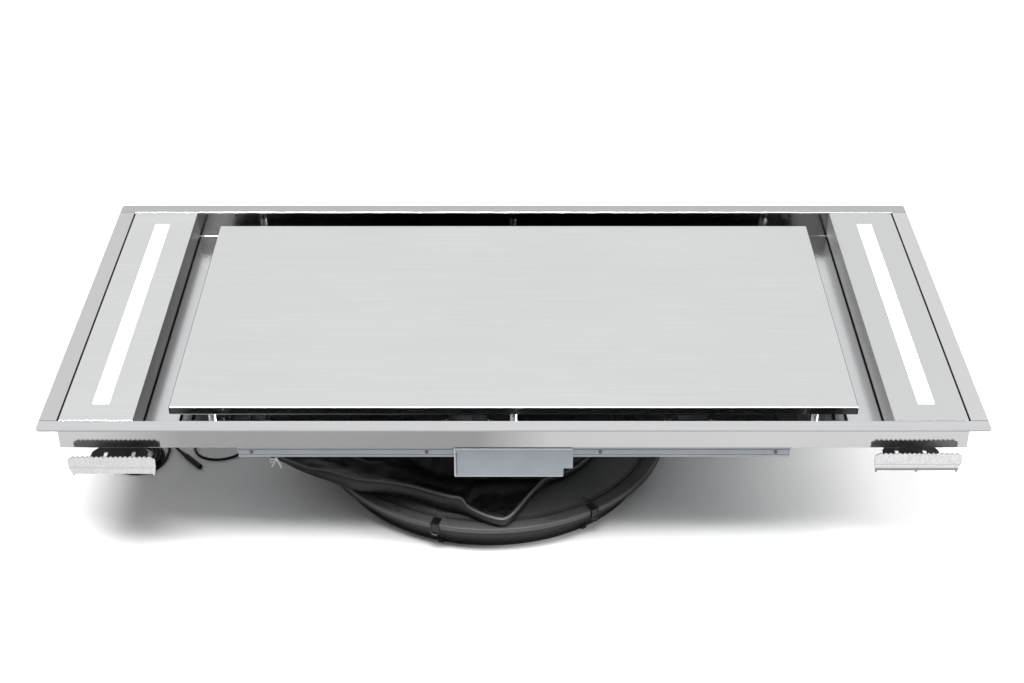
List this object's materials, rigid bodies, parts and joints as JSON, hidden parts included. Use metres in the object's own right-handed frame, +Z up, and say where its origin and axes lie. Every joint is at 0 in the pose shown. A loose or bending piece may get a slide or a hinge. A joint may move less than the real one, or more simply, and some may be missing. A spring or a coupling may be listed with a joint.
{
  "type": "ceiling range hood",
  "caption": "Flush ceiling range hood with a brushed steel panel, two light strips, ceiling clamps, plenum and a flat round blower housing.",
  "frame": {"origin": "middle of the flange rectangle, at the level of the underside of the blower housing", "axes": "+X along the hood to the viewer's right, +Y away from the viewer, +Z up, out of the hood's face"},
  "size_m": [1.2, 0.6, 0.236],
  "materials": {
    "brushed_tray": "brushed along the hood",
    "brushed_panel": "brushed along the hood",
    "panel_inside": "mill",
    "chrome_post": "polished",
    "bright_pin": "satin",
    "zinc_screw": "zinc plated",
    "dark_screw": "blackened",
    "brushed_cover": "brushed along the hood",
    "lit_lens": "opal, lit from behind",
    "profile_aluminium": "extruded",
    "lamp_board": "satin",
    "galvanised": "galvanised",
    "filter_steel": "mill",
    "handle_wire": "polished",
    "rail_paint": "satin, blue-grey",
    "circuit_board": "satin",
    "driver_case": "satin",
    "gland_plastic": "satin",
    "housing_plastic": "satin",
    "lid_plastic": "satin",
    "clip_plastic": "satin",
    "motor_core": "machined",
    "motor_case": "cast",
    "wheel_plastic": "satin",
    "flap_plastic": "satin",
    "guard_wire": "zinc plated",
    "canvas": "woven",
    "tie_tape": "woven tape",
    "lead_jacket": "satin",
    "plug_plastic": "satin"
  },
  "bodies": {
    "hood": {"canvas_sleeve": "canvas", "chassis_rails": "rail_paint", "control_board": "circuit_board", "control_box": "rail_paint", "control_cover": "rail_paint", "cover_brackets": "galvanised", "filter_baffles_centre": "filter_steel", "filter_baffles_left": "filter_steel", "filter_baffles_right": "filter_steel", "filter_frame_centre": "filter_steel", "filter_frame_left": "filter_steel", "filter_frame_right": "filter_steel", "filter_rack": "galvanised", "hinge_pins": "bright_pin", "hinge_posts": "chrome_post", "housing_base": "housing_plastic", "housing_clips": "clip_plastic", "housing_lid": "lid_plastic", "inlet_guard": "guard_wire", "inlet_neck": "galvanised", "lead": "lead_jacket", "lead_coil": "lead_jacket", "lead_gland": "gland_plastic", "lead_plug": "plug_plastic", "light_boards": "lamp_board", "light_cover_left": "brushed_cover", "light_cover_right": "brushed_cover", "light_driver": "driver_case", "light_lens_left": "lit_lens", "light_lens_right": "lit_lens", "light_profile_left": "profile_aluminium", "light_profile_right": "profile_aluminium", "motor_stator": "motor_core", "neck_screws": "zinc_screw", "outlet_spigot": "galvanised", "panel_catches": "chrome_post", "plenum_box": "galvanised", "post_screws": "zinc_screw", "rail_screws": "dark_screw", "sleeve_tie": "tie_tape", "tray": "brushed_tray"},
    "panel": {"centre_panel": "brushed_panel", "panel_stiffeners": "panel_inside", "hinge_leaves": "bright_pin"},
    "fan": {"motor_rotor": "motor_case", "blower_wheel": "wheel_plastic"},
    "flap": {"outlet_flap": "flap_plastic"},
    "clamp_front_left": {"clamp_front_left": "galvanised"},
    "screw_front_left": {"clamp_screw_front_left": "zinc_screw"},
    "clamp_front_right": {"clamp_front_right": "galvanised"},
    "screw_front_right": {"clamp_screw_front_right": "zinc_screw"},
    "clamp_rear_left": {"clamp_rear_left": "galvanised"},
    "screw_rear_left": {"clamp_screw_rear_left": "zinc_screw"},
    "clamp_rear_right": {"clamp_rear_right": "galvanised"},
    "screw_rear_right": {"clamp_screw_rear_right": "zinc_screw"},
    "handle_left": {"filter_handle_left": "handle_wire"},
    "handle_centre": {"filter_handle_centre": "handle_wire"},
    "handle_right": {"filter_handle_right": "handle_wire"}
  },
  "joints": [
    {"name": "panel_hinge", "type": "hinge", "parent": "hood", "child": "panel", "pos_m": [0, 0.235, 0.215], "axis": [-1, 0, 0], "range_deg": [0, 90]},
    {"name": "clamp_slide_front_left", "type": "slide", "parent": "hood", "child": "clamp_front_left", "axis": [0, 0, 1], "range_m": [0, 0.022]},
    {"name": "screw_turn_front_left", "type": "hinge", "parent": "hood", "child": "screw_front_left", "pos_m": [-0.51, -0.2383, 0.1952], "axis": [0, 0, -1], "range_deg": [0, 9900.5]},
    {"name": "clamp_slide_front_right", "type": "slide", "parent": "hood", "child": "clamp_front_right", "axis": [0, 0, 1], "range_m": [0, 0.022]},
    {"name": "screw_turn_front_right", "type": "hinge", "parent": "hood", "child": "screw_front_right", "pos_m": [0.514, -0.2344, 0.1952], "axis": [0, 0, -1], "range_deg": [0, 9900.5]},
    {"name": "clamp_slide_rear_left", "type": "slide", "parent": "hood", "child": "clamp_rear_left", "axis": [0, 0, 1], "range_m": [0, 0.022]},
    {"name": "screw_turn_rear_left", "type": "hinge", "parent": "hood", "child": "screw_rear_left", "pos_m": [-0.512, 0.236, 0.1952], "axis": [0, 0, -1], "range_deg": [0, 9900.5]},
    {"name": "clamp_slide_rear_right", "type": "slide", "parent": "hood", "child": "clamp_rear_right", "axis": [0, 0, 1], "range_m": [0, 0.022]},
    {"name": "screw_turn_rear_right", "type": "hinge", "parent": "hood", "child": "screw_rear_right", "pos_m": [0.512, 0.236, 0.1952], "axis": [0, 0, -1], "range_deg": [0, 9900.5]},
    {"name": "fan_spin", "type": "hinge", "parent": "hood", "child": "fan", "pos_m": [-0.032, -0.009, 0.02], "axis": [0, 0, 1], "continuous": true},
    {"name": "flap_swing", "type": "hinge", "parent": "hood", "child": "flap", "pos_m": [0.09, 0.241, 0.0291], "axis": [1, 0, 0], "range_deg": [0, 80]},
    {"name": "handle_left_lift", "type": "hinge", "parent": "hood", "child": "handle_left", "pos_m": [-0.35067, -0.2145, 0.1932], "axis": [1, 0, 0], "range_deg": [0, 90]},
    {"name": "handle_centre_lift", "type": "hinge", "parent": "hood", "child": "handle_centre", "pos_m": [-0.06, -0.2145, 0.1932], "axis": [1, 0, 0], "range_deg": [0, 90]},
    {"name": "handle_right_lift", "type": "hinge", "parent": "hood", "child": "handle_right", "pos_m": [0.23067, -0.2145, 0.1932], "axis": [1, 0, 0], "range_deg": [0, 90]}
  ],
  "couplings": [
    {"joint": "screw_turn_front_left", "follows": "clamp_slide_front_left", "rad_per_m": 7854},
    {"joint": "screw_turn_front_right", "follows": "clamp_slide_front_right", "rad_per_m": 7854},
    {"joint": "screw_turn_rear_left", "follows": "clamp_slide_rear_left", "rad_per_m": 7854},
    {"joint": "screw_turn_rear_right", "follows": "clamp_slide_rear_right", "rad_per_m": 7854}
  ]
}
